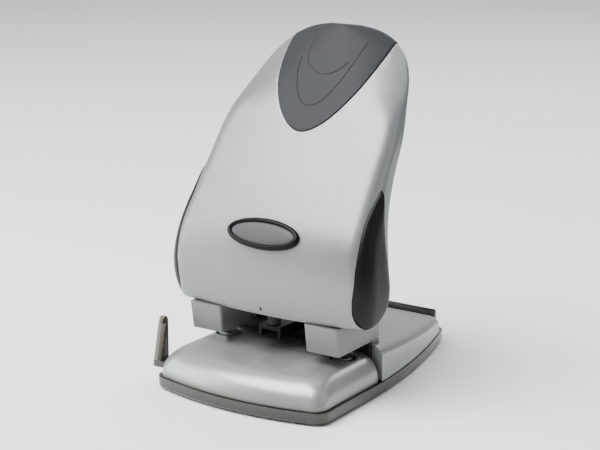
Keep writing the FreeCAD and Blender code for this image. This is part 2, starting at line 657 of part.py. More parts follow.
def grip_pad():
    skin = handle_loft(0).cut(handle_loft(PAD_T - 0.1))
    pad = skin.common(pad_prism(FIT)).common(pad_zone())
    return max(pad.Solids, key=lambda s: s.Volume)


def side_insert(side):
    zone = side_zone(side, FIT)
    skin = handle_loft(-INSERT_BULGE).cut(handle_loft(PAD_T - 0.1))
    insert = skin.common(insert_prism(FIT + 0.35)).common(zone).common(handle_lower(-INSERT_BULGE))
    return max(insert.Solids, key=lambda s: s.Volume)


def handle_lower(inset):
    return front_profile(inset).common(side_profile(0.6))


def badge_bezel():
    skin = handle_loft(-1.4).cut(handle_loft(0.95))
    ring = oval(BADGE_LONG - FIT, BADGE_SHORT - FIT).cut(oval(BADGE_LONG - 3.0, BADGE_SHORT - 2.6))
    ring = skin.common(ring).common(front_band())
    return max(ring.Solids, key=lambda s: s.Volume)


def badge_plate():
    skin = handle_loft(-0.9).cut(handle_loft(0.95))
    plate = skin.common(oval(BADGE_LONG - 3.1, BADGE_SHORT - 2.7)).common(front_band())
    return max(plate.Solids, key=lambda s: s.Volume)


# ---- lever plate inside the handle -------------------------------------------------------
def lever_line(offset):
    """The lever plate follows the handle's front at this distance inside it."""
    wanted = [s for s in STATIONS if 80 <= s[0] <= 163]
    return [(s[2] - FRONT_SHIFT + offset, s[0]) for s in wanted]


def lever_frame():
    # pressed-steel channel: web behind the handle's front, flanges on the two cams
    near, far = lever_line(7.0), lever_line(7.0 + LEVER_T)
    web = slab_x(near + far[::-1], -LEVER_X - LEVER_T, LEVER_X + LEVER_T)
    flange_outline = near[:3] + [(AXLE_Y + 11, AXLE_Z + 34), (AXLE_Y + 7, AXLE_Z + 13)]
    flanges = [slab_x(flange_outline, s * (LEVER_X + LEVER_T / 2) - LEVER_T / 2,
                      s * (LEVER_X + LEVER_T / 2) + LEVER_T / 2) for s in (1, -1)]
    frame = join([web] + flanges)
    cuts = [box(-PIN_X + 12, PIN_X - 12, -60, 60, 92, 122)]
    for y, z in LEVER_RIVETS:
        cuts.append(rod_x(2.0 + FIT, -60, 60, y, z))
    cuts += [Part.makeCylinder(1.8, 60, V(x, 0, z), V(0, 1, 0)) for x, z in PLATE_SCREWS]
    room = [cam(x).copy() for x in (PIN_X, -PIN_X)]
    return frame.cut(group(cuts + room))


LEVER_RIVETS = [(AXLE_Y + 1.0, AXLE_Z + 17), (AXLE_Y + 2.0, AXLE_Z + 28)]
PLATE_SCREWS = [(s * 22, z) for s in (1, -1) for z in (132, 152)]


def lever_rivets():
    rivets = []
    for s in (1, -1):
        inner, outer = s * (PIN_X - CAM_T / 2 + 1.0), s * (LEVER_X + LEVER_T)
        for y, z in LEVER_RIVETS:
            shank = rod_x(2.0, min(inner, outer), max(inner, outer), y, z)
            lo, hi = sorted((outer + s * 0.02, outer + s * 1.4))
            rivets.append(shank.fuse(rod_x(3.4, lo - 0.02 * (s > 0), hi + 0.02 * (s < 0), y, z)))
    return group(rivets)


def cam_with_holes(x):
    s = 1 if x > 0 else -1
    inner, outer = s * (PIN_X - CAM_T / 2 + 0.9), s * (LEVER_X + 5)
    holes = [rod_x(2.0 + 0.02, min(inner, outer), max(inner, outer), y, z) for y, z in LEVER_RIVETS]
    return cam(x).cut(group(holes))


def handle_posts():
    # posts moulded inside the handle's front, which the lever plate is screwed to
    posts = []
    for x, z in PLATE_SCREWS:
        y = lever_y(z)
        posts.append(Part.makeCylinder(4.0, 12, V(x, y - 12, z), V(0, 1, 0)))
    return posts


def lever_y(z):
    points = lever_line(7.0)
    for (y0, z0), (y1, z1) in zip(points, points[1:]):
        if z0 <= z <= z1:
            return y0 + (y1 - y0) * (z - z0) / (z1 - z0)
    return points[-1][0]


def handle_with_posts():
    shell = handle_shell()
    room = slab_x(lever_line(7.0 - 0.02) + [(200, 170), (200, 70)], -100, 100)
    posts = [p.common(handle_loft(HANDLE_WALL - 1.0)).cut(room) for p in handle_posts()]
    shell = join([shell] + posts)
    holes = [Part.makeCylinder(1.3, 8, V(x, lever_y(z) - 4, z), V(0, 1, 0)) for x, z in PLATE_SCREWS]
    shell = shell.cut(group(holes))
    return max(shell.Solids, key=lambda s: s.Volume)


def plate_screws():
    screws = []
    for x, z in PLATE_SCREWS:
        y = lever_y(z) + LEVER_T + 2.3
        shank = Part.makeCylinder(1.2, 6.5, V(x, y - 6.5, z), V(0, 1, 0))
        screws.append(shank.fuse(Part.makeCylinder(2.6, 1.4, V(x, y, z), V(0, 1, 0))))
    return group(screws)


# ---- paper guide, tray and feet ----------------------------------------------------------
BAR_END = 48.0


def paper_guide():
    # smoked plastic rule: a bar that slides in the base, and an upright finger on its left end
    y0, y1 = -GUIDE_Y - GUIDE_W / 2, -GUIDE_Y + GUIDE_W / 2
    bar = box(-GUIDE_OUT, BAR_END, y0, y1, BAR_Z, BAR_TOP)
    tip = y1 - 5.6
    outline = [(y0, BAR_Z), (y1, BAR_Z), (y1, GUIDE_TOP - 2.5), (y1 - 1.2, GUIDE_TOP - 0.5), (y1 - 2.8, GUIDE_TOP),
               (y1 - 4.4, GUIDE_TOP - 1.0), (tip, GUIDE_TOP - 4), (y0, BAR_Z + 3)]
    finger = slab_x(outline, -GUIDE_OUT, -GUIDE_OUT + GUIDE_T)
    rib = slab_x([(y0, BAR_Z), (y0 + 2.2, BAR_Z), (y0 + 2.2, BAR_Z + 3), (tip + 2.0, GUIDE_TOP - 4),
                  (tip, GUIDE_TOP - 4), (y0, BAR_Z + 3)],
                 -GUIDE_OUT, -GUIDE_OUT + GUIDE_T + 2.4)
    guide = join([bar, finger, rib])
    teeth = [box(x, x + 1.2, y1 - 0.8, y1 + 1, BAR_Z - 1, BAR_TOP + 1) for x in range(-50, 40, 6)]
    return guide.cut(group(teeth))


def guide_channel():
    # open-sided channel on the underside of the paper table
    y0, y1 = -GUIDE_Y - GUIDE_W / 2, -GUIDE_Y + GUIDE_W / 2
    x0, x1 = -BASE_HALF_W + 10, BAR_END + 4
    walls = [box(x0, x1, y0 - GAP - 1.8, y0 - GAP, BAR_Z, BAR_TOP + GAP + 1.6),
             box(x0, x1, y1 + GAP, y1 + GAP + 1.8, BAR_Z, BAR_TOP + GAP + 1.6),
             box(x0, x1, y0 - 1, y1 + 1, BAR_TOP + GAP, BAR_TOP + GAP + 1.6)]
    for x in (-40, 0, 40):
        walls.append(box(x - 4, x + 4, y0 - GAP - 1.8, y0 - GAP + 1.6, BAR_Z - 0.9, BAR_Z - GAP))
        walls.append(box(x - 4, x + 4, y1 + GAP - 1.6, y1 + GAP + 1.8, BAR_Z - 0.9, BAR_Z - GAP))
        walls.append(box(x - 4, x + 4, y0 - GAP - 1.8, y0 - GAP, BAR_Z - 0.9, BAR_Z))
        walls.append(box(x - 4, x + 4, y1 + GAP, y1 + GAP + 1.8, BAR_Z - 0.9, BAR_Z))
    posts = [rod_z(3.5, x, -GUIDE_Y, BAR_TOP + GAP + 1, TABLE_Z - WALL - 0.02) for x in (-35, 0, 35)]
    return join(walls + posts)


def chip_tray():
    # smoked plastic tray that catches the paper dots, with a springy flap at the back
    outer = base_prism(0, None, None, TRAY_Z, RIM_Z, 9.0)
    outer = round_edges(outer, 1.6, lambda e, m: m.z < TRAY_Z + 0.01)
    inner = base_prism(TRAY_WALL, None, None, TRAY_Z + TRAY_WALL, RIM_Z + 1, 7.2)
    tray = outer.cut(inner)
    ribs = [box(-side_x(y, 3), side_x(y, 3), y, y + 1.4, TRAY_Z + 0.5, TRAY_Z + TRAY_WALL + 1.2) for y in (24, 62)]
    back, half = BASE_BACK, BASE_BACK_HALF_W - 5.5
    flap = slab_x([(back - 3.4, TRAY_Z + 1), (back, TRAY_Z + 1), (back, 16.5), (back - 0.8, 18.6), (back - 2.2, 19.0),
                   (back - 2.6, 17.6), (back - 2.2, 12.0), (back - 2.2, 5.0)], -half, half)
    notches = [box(s * (half + 1.0) - 1.0, s * (half + 1.0) + 1.0, back - 8, back + 2, TRAY_Z + 3, RIM_Z + 2)
               for s in (1, -1)]
    tray = join([tray] + ribs).cut(group(notches))
    tongues = [box(x - 5, x + 5, -BASE_FRONT + 6.4, -BASE_FRONT + 7.9, TRAY_Z + 1, RIM_Z + 2.4) for x in (-24, 24)]
    return join([tray, flap] + tongues)


def rubber_feet():
    pads = [box(-26, 26, -5, 5, 0, TRAY_Z)]
    for x, y in ((-44, -38), (44, -38), (-30, 108), (30, 108), (-46, 40), (46, 40)):
        pads.append(rod_z(6.0, x, y, 0, TRAY_Z))
    return group(pads)


# ---- write every piece -------------------------------------------------------------------
def main():
    save("front_cover", front_cover())
    save("rear_cover", rear_cover())
    save("chassis_plate", chassis_plate())
    save("back_stop", back_stop())
    save("lever_stop", lever_stop())
    save("stop_bumper", stop_bumper())
    save("head_screws", head_screws())
    save("cover_screws", cover_screws())
    save("axle", axle())
    save("axle_clips", axle_clips())
    save("axle_spacers", axle_spacers())
    for name, side in (("left", -1), ("right", 1)):
        x = side * PIN_X
        save("punch_head_" + name, punch_head(side))
        save("die_" + name, die(x))
        save("punch_pin_" + name, punch_pin(x))
        save("pin_cap_" + name, pin_cap(x))
        save("return_spring_" + name, return_spring(x))
        save("cam_" + name, cam_with_holes(x))
        save("cam_bush_" + name, cam_bush(x))
        save("side_insert_" + name, side_insert(side))
    save("handle_shell", handle_with_posts())
    save("handle_back_cover", handle_back_cover())
    save("grip_pad", grip_pad())
    save("badge_bezel", badge_bezel())
    save("badge_plate", badge_plate())
    save("lever_frame", lever_frame())
    save("lever_rivets", lever_rivets())
    save("plate_screws", plate_screws())
    save("paper_guide", paper_guide())
    save("guide_channel", guide_channel())
    save("chip_tray", chip_tray())
    save("rubber_feet", rubber_feet())


main()
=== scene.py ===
# %% [markdown]
# # A two-hole desk punch
# The punch stands on a low silver base over a smoked chip tray. Two cast heads hold the punching
# pins, and a tall silver handle leans back over them. The frame comes packed, with every body and
# joint in place. This lesson gives each piece its real surface and finish, one piece at a time.

# %% Load the frame and keep its box
import json
import math

import bmesh
import bpy
from mathutils import Matrix, Vector


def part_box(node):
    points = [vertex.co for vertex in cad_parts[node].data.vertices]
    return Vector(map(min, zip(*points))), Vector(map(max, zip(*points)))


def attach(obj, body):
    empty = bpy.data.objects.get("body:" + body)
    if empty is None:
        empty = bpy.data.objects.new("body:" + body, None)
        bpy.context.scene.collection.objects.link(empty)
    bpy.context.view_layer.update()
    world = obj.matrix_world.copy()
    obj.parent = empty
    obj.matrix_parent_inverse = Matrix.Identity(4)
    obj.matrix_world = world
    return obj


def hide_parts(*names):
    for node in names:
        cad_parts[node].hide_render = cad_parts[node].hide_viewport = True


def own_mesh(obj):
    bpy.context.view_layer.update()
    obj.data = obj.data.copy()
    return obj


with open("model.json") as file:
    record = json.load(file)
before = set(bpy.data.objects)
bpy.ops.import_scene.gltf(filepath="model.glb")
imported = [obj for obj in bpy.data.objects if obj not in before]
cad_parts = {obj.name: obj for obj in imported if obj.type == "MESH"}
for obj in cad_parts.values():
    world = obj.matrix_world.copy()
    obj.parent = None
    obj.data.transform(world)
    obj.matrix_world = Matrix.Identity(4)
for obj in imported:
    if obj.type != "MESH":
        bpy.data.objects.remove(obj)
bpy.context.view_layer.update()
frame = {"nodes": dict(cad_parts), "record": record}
MM = 0.001
body_of_node = {n: b for b, names in frame["record"]["behaviour"]["bodies"].items() for n in names}

# %% [markdown]
# ## Working by hand
# An operator acts on whatever is selected, so every step starts with nothing selected. The small
# helpers here do what a hand does: leave edit mode, pick one piece, add a modifier and apply it.
# A finished piece gets its material, rides on a body of the frame, and stands for its CAD node.

# %% Helpers for selecting and modifying
SAME_SPOT = 0.002  # points nearer than this, in mm, are one point


def fresh(*pieces):
    """Object mode with only these pieces selected, the first one active."""
    if bpy.context.object and bpy.context.object.mode != "OBJECT":
        bpy.ops.object.mode_set(mode="OBJECT")
    bpy.ops.object.select_all(action="DESELECT")
    for piece in pieces:
        piece.select_set(True)
    if pieces:
        bpy.context.view_layer.objects.active = pieces[0]


def modify(piece, kind, **settings):
    """Adds one modifier and applies it."""
    fresh(piece)
    modifier = piece.modifiers.new(kind.title(), kind)
    for name, value in settings.items():
        setattr(modifier, name, value)
    bpy.ops.object.modifier_apply(modifier=modifier.name)
    return piece


def outward(piece):
    """Doubles merged and every face turned outwards."""
    fresh(piece)
    bpy.ops.object.mode_set(mode="EDIT")
    bpy.ops.mesh.select_all(action="SELECT")
    bpy.ops.mesh.remove_doubles(threshold=SAME_SPOT * MM)
    bpy.ops.mesh.normals_make_consistent(inside=False)
    bpy.ops.object.mode_set(mode="OBJECT")


def round_edges(piece, width, segments=2, degrees=40):
    """A bevel, its width in mm, on every edge that turns by more than some degrees."""
    return modify(piece, "BEVEL", width=width * MM, segments=segments, limit_method="ANGLE",
                  angle_limit=math.radians(degrees))


def smooth(piece, degrees=35):
    """Soft shading over gentle curves and crisp edges at corners."""
    fresh(piece)
    bpy.ops.object.shade_smooth_by_angle(angle=math.radians(degrees))


def settle(piece, name, body, finish, node=None, degrees=35):
    """The piece gets its name and finish, rides on its body and stands for its CAD node."""
    piece.name = piece.data.name = name
    piece.data.materials.clear()
    piece.data.materials.append(finish)
    smooth(piece, degrees)
    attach(piece, body)
    if node:
        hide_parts(node)
    print(name, len(piece.data.polygons), "faces, rides on", body)


# %% [markdown]
# ## The view
# A long lens from the front right, a little above, is how a catalogue shows such a tool: it keeps
# the two heads nearly parallel. The camera is placed first, because every finish is judged from it.

# %% Camera
CAMERA_SPOT, CAMERA_TARGET = (502.0, -730.2, 324.3), (17.24, -9.35, 100.16)
LENS, SENSOR = 96.0, 36.0


def turn_to(target, spot):
    """The turn of a camera or lamp that stands at a spot and looks at a target."""
    return (Vector(target) - Vector(spot)).to_track_quat("-Z", "Y").to_euler()


def place_camera(spot, target, lens):
    """A camera at a spot, in mm, that looks at a target."""
    data = bpy.data.cameras.new("camera")
    data.lens, data.sensor_width = lens, SENSOR
    camera = bpy.data.objects.new("camera", data)
    bpy.context.scene.collection.objects.link(camera)
    camera.location = Vector(spot) * MM
    camera.rotation_euler = turn_to(target, spot)
    bpy.context.scene.camera = camera


place_camera(CAMERA_SPOT, CAMERA_TARGET, LENS)
print("camera", [round(c, 3) for c in bpy.context.scene.camera.location])

# %% [markdown]
# ## Light and floor
# A pale floor and four large soft lamps stand for a studio: a wide lamp above and in front, one on
# the left, a very weak one on the right, and one behind that draws a thin bright edge.

# %% Floor and lamps
WORLD_STRENGTH = 0.9


def soft_lamp(name, spot, target, size, watts):
    """A large flat lamp, its places and sizes in metres."""
    data = bpy.data.lights.new(name, "AREA")
    data.shape, data.size, data.size_y = "RECTANGLE", size[0], size[1]
    data.energy = watts
    lamp = bpy.data.objects.new(name, data)
    bpy.context.scene.collection.objects.link(lamp)
    lamp.location = spot
    lamp.rotation_euler = turn_to(target, spot)


soft_lamp("lamp_above", (-0.35, -0.55, 1.25), (0, 0, 0.08), (1.1, 0.9), 40)
soft_lamp("lamp_left", (-1.25, -0.75, 0.55), (0, 0, 0.1), (0.9, 1.0), 18)
soft_lamp("lamp_right", (1.3, 0.2, 0.7), (0, 0, 0.1), (0.8, 0.9), 2)
soft_lamp("lamp_behind", (0.1, 1.2, 1.3), (0, 0.05, 0.02), (1.2, 0.7), 16)

world = bpy.data.worlds.new("studio")
bpy.context.scene.world = world
world.use_nodes = True
world.node_tree.nodes["Background"].inputs["Strength"].default_value = WORLD_STRENGTH

fresh()
bpy.ops.mesh.primitive_plane_add(size=12, location=(0, 2, 0))
floor = bpy.context.object
floor.name = floor.data.name = "floor"
bpy.ops.object.transform_apply(location=True, rotation=True, scale=True)
print("floor and", len(bpy.data.lights), "lamps")

# %% [markdown]
# ## Shader maths
# A finish is a small sum: a base value plus a little noise. One class wraps a node's socket, so the
# sums below read like sums, and its one method adds any other node.

# %% A socket that can be used in sums
class Shade:
    """One socket of a material, for sums such as 1 - cloud * 0.3."""

    def __init__(self, tree, socket=None):
        self.tree, self.socket = tree, socket

    def node(self, kind, settings=None, sockets=None, out=0):
        """Adds a node with its settings, then its values or links, and returns one output."""
        made = self.tree.nodes.new(kind)
        for name, value in (settings or {}).items():
            setattr(made, name, value)
        for name, value in (sockets or {}).items():
            if isinstance(value, Shade):
                self.tree.links.new(value.socket, made.inputs[name])
            else:
                made.inputs[name].default_value = value
        return Shade(self.tree, made.outputs[out])

    def sum(self, operation, a, b):
        return self.node("ShaderNodeMath", {"operation": operation}, {0: a, 1: b})

    def __add__(self, other): return self.sum("ADD", self, other)
    def __radd__(self, other): return self.sum("ADD", other, self)
    def __sub__(self, other): return self.sum("SUBTRACT", self, other)
    def __rsub__(self, other): return self.sum("SUBTRACT", other, self)
    def __mul__(self, other): return self.sum("MULTIPLY", self, other)
    def __rmul__(self, other): return self.sum("MULTIPLY", other, self)


def new_finish(name):
    """An empty material and its first, unlinked shade."""
    material = bpy.data.materials.new(name)
    material.use_nodes = True
    return material, Shade(material.node_tree)


def shader_inputs(material, **values):
    """Sets or links the main shader's own sockets."""
    main = material.node_tree.nodes["Principled BSDF"]
    for name, value in values.items():
        socket = main.inputs[name.replace("_", " ")]
        if isinstance(value, Shade):
            material.node_tree.links.new(value.socket, socket)
        else:
            socket.default_value = value
    return material


EVEN = (1, 1, 1)


def noise(shade, scale, detail=2.0, rough=0.5, stretch=EVEN):
    """Even noise fixed to the piece, about 1/scale metres from spot to spot."""
    place = shade.node("ShaderNodeTexCoord", out="Object")
    if stretch != EVEN:
        place = shade.node("ShaderNodeMapping", {}, {"Vector": place, "Scale": stretch})
    return shade.node("ShaderNodeTexNoise", {}, {
        "Vector": place, "Scale": scale, "Detail": detail, "Roughness": rough}, "Fac")


def rise(shade, low, high, curve="LINEAR"):
    """0 below one height and 1 above another, both in mm."""
    place = shade.node("ShaderNodeTexCoord", out="Object")
    height = shade.node("ShaderNodeSeparateXYZ", {}, {"Vector": place}, "Z")
    return shade.node("ShaderNodeMapRange", {"clamp": True, "interpolation_type": curve}, {
        "Value": height, "From Min": low * MM, "From Max": high * MM})


FIRST_COLOUR, SECOND_COLOUR, MIXED_COLOUR = 6, 7, 2  # the colour sockets of a Mix node


def between(shade, amount, dark, light):
    """A colour between two, by an amount from 0 to 1."""
    ends = [colour if isinstance(colour, Shade) else (*colour, 1) for colour in (dark, light)]
    return shade.node("ShaderNodeMix", {"data_type": "RGBA"}, {
        "Factor": amount, FIRST_COLOUR: ends[0], SECOND_COLOUR: ends[1]}, MIXED_COLOUR)


def bump(shade, height, depth_mm):
    """A height turned into small dents, as deep as the grain is."""
    return shade.node("ShaderNodeBump", {}, {
        "Height": height, "Strength": 1.0, "Distance": depth_mm * MM}, "Normal")


# %% [markdown]
# ## Room light
# A shiny surface shows the room it stands in. One grey all round would make the paint look flat, so
# the room is bright on its left and dark on its right, and every curve gets a bright and a dark side.

# %% The room is brighter on its left
ROOM_DARK, ROOM_BRIGHT = (0.22, 0.225, 0.235), (0.93, 0.95, 0.98)
room = Shade(world.node_tree)
way = room.node("ShaderNodeTexCoord", out="Generated")
across = room.node("ShaderNodeSeparateXYZ", {}, {"Vector": way}, "X")
bright = room.node("ShaderNodeMapRange", {"clamp": True}, {
    "Value": across, "From Min": -0.7, "From Max": 0.8, "To Min": 1.0, "To Max": 0.0})
world.node_tree.links.new(
    between(room, bright, ROOM_DARK, ROOM_BRIGHT).socket,
    world.node_tree.nodes["Background"].inputs["Color"])
print("room light set")

# %% [markdown]
# ## Finishes
# The silver pieces are moulded plastic with a satin metallic paint: tiny aluminium flakes under a
# thin lacquer. The flakes are a very fine noise in the colour, and a slower noise changes the
# roughness, as sprayed paint does. The heads are die-cast and carry a duller, greyer coat.

# %% Painted finishes
TABLE_DARK, TABLE_LIGHT = (0.21, 0.222, 0.222), (0.36, 0.375, 0.375)
FOOT_SHADE, FOOT_LOW, FOOT_HIGH = (0.07, 0.072, 0.062), 7.0, 12.5


def painted(name, dark, light, metal, rough, coat, grain_mm=0.012, foot=None):
    """Satin paint with flakes, and a darker foot where a piece is shaded near the table."""
    material, shade = new_finish(name)
    flakes = noise(shade, 4200, 1.0)
    cloud = noise(shade, 26, 3.0)
    spots = shade.node("ShaderNodeMapRange", {"clamp": True}, {
        "Value": flakes * 0.85 + cloud * 0.15, "From Min": 0.34, "From Max": 0.66})
    peel = noise(shade, 900, 2.0)
    colour = between(shade, spots, dark, light)
    if foot:
        colour = between(shade, rise(shade, FOOT_LOW, FOOT_HIGH, "SMOOTHSTEP"), foot, colour)
    return shader_inputs(
        material, Base_Color=colour, Metallic=metal,
        Roughness=rough + (cloud - 0.5) * 0.10 + (flakes - 0.5) * 0.06,
        Coat_Weight=coat, Coat_Roughness=0.22, Normal=bump(shade, peel, grain_mm))


handle_paint = painted("handle_paint", (0.150, 0.161, 0.158), (0.265, 0.280, 0.275),
                       0.5, 0.38, 0.25)
base_paint = painted("base_paint", TABLE_DARK, TABLE_LIGHT, 0.55, 0.32, 0.35)
table_paint = painted("table_paint", TABLE_DARK, TABLE_LIGHT, 0.55, 0.32, 0.35, foot=FOOT_SHADE)
head_paint = painted("head_paint", (0.12, 0.130, 0.125), (0.175, 0.187, 0.180),
                     0.3, 0.44, 0.15, 0.03)
print("painted finishes:", handle_paint.name, base_paint.name, head_paint.name)

# %% [markdown]
# The grip pad is soft rubber with a fine matt grain, the side inserts are moulded black plastic,
# and the tray is smoked plastic. Its colour is painted olive towards its thin upper edge, as painted
# light that gets through, and nearly black lower down where it is thick. Steel pieces have faint
# turning or rolling marks.

# %% Rubber, plastic and metal finishes
def moulded(name, dark, light, rough, grain, depth_mm=0.02, gloss=0.3):
    """Plastic or rubber with a fine grain and a slightly cloudy shade."""
    material, shade = new_finish(name)
    fine = noise(shade, grain, 2.0)
    cloud = noise(shade, 40, 3.0)
    return shader_inputs(
        material, Base_Color=between(shade, cloud, dark, light),
        Roughness=rough + (cloud - 0.5) * 0.12, Coat_Weight=0.0,
        Normal=bump(shade, fine, depth_mm), Specular_IOR_Level=gloss)


def metal(name, dark, light, rough, stretch=EVEN):
    """Bare metal with fine marks, long in one direction when they are stretched."""
    material, shade = new_finish(name)
    marks = noise(shade, 700, 3.0, 0.6, stretch)
    cloud = noise(shade, 60, 3.0)
    return shader_inputs(
        material, Base_Color=between(shade, marks * 0.6 + cloud * 0.4, dark, light), Metallic=1.0,
        Roughness=rough + (marks - 0.5) * 0.2, Normal=bump(shade, marks, 0.006))


grip_rubber = moulded("grip_rubber", (0.013, 0.0148, 0.0165), (0.020, 0.0228, 0.0252),
                      0.55, 2600, 0.05, gloss=0.22)
black_plastic = moulded("black_plastic", (0.003, 0.0033, 0.0036), (0.006, 0.0064, 0.007),
                        0.36, 1800, gloss=0.16)
back_plastic = moulded("back_plastic", (0.035, 0.037, 0.039), (0.055, 0.057, 0.060),
                       0.5, 900, 0.06)
black_gloss = moulded("black_gloss", (0.002, 0.002, 0.0022), (0.004, 0.004, 0.0044),
                      0.3, 1800, 0.004, gloss=0.12)
badge_grey = moulded("badge_grey", (0.032, 0.034, 0.036), (0.052, 0.055, 0.058), 0.4, 2200, 0.01)


def smoked(name, low, high, dark, light):
    """Clear brown plastic, painted darker low down and olive towards its upper edge, as painted light
    shining through the thin plastic.
    """
    material, shade = new_finish(name)
    ripples = noise(shade, 260, 2.0, 0.5, (1, 1, 9))
    cloud = noise(shade, 90, 3.0)
    # Painted light: the colour rises with height, lighter olive towards the thin upper edge where
    # light would shine through; the ripples and cloud are the plastic's own uneven tone.
    tone_and_painted_light = rise(shade, low, high) * 0.75 + ripples * 0.2 + cloud * 0.15 - 0.1
    return shader_inputs(
        material, Base_Color=between(shade, tone_and_painted_light, dark, light), Roughness=0.2 + cloud * 0.16,
        Coat_Weight=0.3, Specular_IOR_Level=0.45, Normal=bump(shade, ripples, 0.05))


smoked_plastic = smoked("smoked_plastic", 1.2, 8.0,
                        (0.004, 0.0036, 0.003), (0.040, 0.0385, 0.031))
smoked_rule = smoked("smoked_rule", 9.0, 38.0, (0.004, 0.003, 0.0025), (0.085, 0.072, 0.045))
rubber = moulded("rubber", (0.012, 0.012, 0.012), (0.028, 0.028, 0.028), 0.7, 1400, 0.05)
steel = metal("steel", (0.50, 0.51, 0.52), (0.68, 0.69, 0.70), 0.30, (1, 6, 1))
# Blackened steel, its colour made darker still as painted shade for the stops, plate and cams that sit
# in the shaded space under the handle and between the heads.
black_steel = metal("black_steel", (0.010, 0.011, 0.012), (0.022, 0.023, 0.025), 0.55)
brass = metal("brass", (0.45, 0.32, 0.13), (0.62, 0.46, 0.20), 0.34)
floor_paper, paper = new_finish("floor_paper")
shader_inputs(
    floor_paper, Roughness=0.6 + noise(paper, 60) * 0.1,
    Base_Color=between(paper, noise(paper, 3, 4.0), (0.93, 0.93, 0.93), (0.96, 0.96, 0.96)))
floor.data.materials.append(floor_paper)
print("materials:", len(bpy.data.materials))

# %% [markdown]
# ## The frame's own pieces
# A piece of the frame that isn't modelled again below keeps its CAD shape, which is right for a
# pin, a screw or a plate that is mostly hidden. It still gets the finish that it has in real life.

# %% Every piece of the frame gets its finish
FINISH_OF = {
    handle_paint: ["handle_shell"],
    base_paint: ["front_cover", "rear_cover"],
    head_paint: ["punch_head_left", "punch_head_right"],
    grip_rubber: ["grip_pad"],
    black_plastic: ["side_insert_left", "side_insert_right"],
    back_plastic: ["handle_back_cover", "guide_channel"],
    black_gloss: ["badge_bezel"],
    badge_grey: ["badge_plate"],
    smoked_plastic: ["chip_tray", "paper_guide"],
    rubber: ["rubber_feet", "stop_bumper"],
    steel: ["axle", "axle_clips", "punch_pin_left", "punch_pin_right", "pin_cap_left", "pin_cap_right",
            "head_screws", "cover_screws", "plate_screws", "lever_rivets", "return_spring_left",
            "return_spring_right", "die_left", "die_right", "lever_frame"],
    black_steel: ["chassis_plate", "back_stop", "lever_stop", "axle_spacers", "cam_left", "cam_right"],
    brass: ["cam_bush_left", "cam_bush_right"],
}


for finish, names in FINISH_OF.items():
    for name in names:
        frame["nodes"][name].data.materials.clear()
        frame["nodes"][name].data.materials.append(finish)
left_out = set(frame["nodes"]) - {n for names in FINISH_OF.values() for n in names}
print("nodes without a finish:", sorted(left_out))

# %% [markdown]
# ## The handle's shape
# The handle is one tall moulding. Seen from above at any height it is a wide bow: a gently crowned
# front, soft front corners, short sides and a flat back. Going up, the bow gets narrower, thinner
# and further back, and near the top it becomes a full curve. So its outline is written once, as a
# table by height, and a circle is extruded from height to height and moved to each outline.

# %% The table of heights
WIDTH, FRONT, DEPTH = 1, 2, 3  # the table's columns, after the height
HANDLE_ROWS = [
    # height, half width, front, depth
    (40, 62.3, -20.0, 31.0), (52, 65.0, -23.8, 32.0), (66, 67.0, -25.7, 33.0),
    (80, 66.3, -25.0, 34.0), (95, 64.0, -21.0, 32.5), (112, 62.3, -10.0, 25.5),
    (130, 60.6, 2.9, 21.5), (148, 59.0, 16.0, 19.0), (163, 54.9, 26.8, 18.5),
    (176.8, 50.2, 37.3, 18.5), (186.9, 44.2, 45.2, 17.5), (194.3, 36.2, 51.0, 15.5),
    (198.9, 28.1, 54.6, 13.0), (201.9, 19.4, 57.0, 10.0), (203.5, 10.7, 58.5, 6.5)]
HALF_WIDTH, HANDLE_TOP = 67.0, 203.5
AXLE_Y, AXLE_Z, LOBE = -9.0, 66.0, 20.5


def row_value(height, column):
    """A smooth curve through one column of the table."""
    rows = HANDLE_ROWS
    i = sum(height >= row[0] for row in rows[1:-1])

    def slope(k):
        a, b = rows[max(k - 1, 0)], rows[min(k + 1, len(rows) - 1)]
        return (b[column] - a[column]) / (b[0] - a[0])

    span = rows[i + 1][0] - rows[i][0]
    t = (height - rows[i][0]) / span
    return ((2 * t ** 3 - 3 * t ** 2 + 1) * rows[i][column]
            + (t ** 3 - 2 * t ** 2 + t) * span * slope(i)
            + (3 * t ** 2 - 2 * t ** 3) * rows[i + 1][column]
            + (t ** 3 - t ** 2) * span * slope(i + 1))


def ease(value, low, high):
    """From 0 to 1 with a soft start and end."""
    t = max(0.0, min(1.0, (value - low) / (high - low)))
    return t * t * (3 - 2 * t)


print("half width at 120 mm:", round(row_value(120, WIDTH), 1))

# %% [markdown]
# The section is walked as half an outline, from the middle of the front round to the middle of the
# back, and then mirrored. The lower lobes are an arc about the axle, so below it the front and the
# back are held inside that arc. An inset gives the same shape a little smaller or larger, which
# makes the hollow, the recess floors and the raised pad from the same few lines.

# %% One outline of the handle
LOBE_CORNER = 9.0                           # round between a lobe's underside and its side
FRONT_LEAN = 1.15                           # a wall across the leaning front is this much deeper
NARROWS = 150.0                             # from here up the corners open out
LOW_CORNER, TOP_CORNER, OPENED = 11, 30, 0.65
CORNER_SHARE, CROWN = 0.72, 4.0
SIDE_ROUND, BACK_ROUND = 12.0, 4.0
ROUND_FROM, ROUND_FULL = 156, 178           # the front turns into one full curve here
POWER_FROM, POWER_FULL = 174, 195
FRONT_STEPS, CORNER_STEPS, SIDE_STEPS, BACK_CORNER_STEPS, BACK_STEPS = 14, 10, 7, 5, 8
FRONT_POINTS = FRONT_STEPS + 1 + CORNER_STEPS


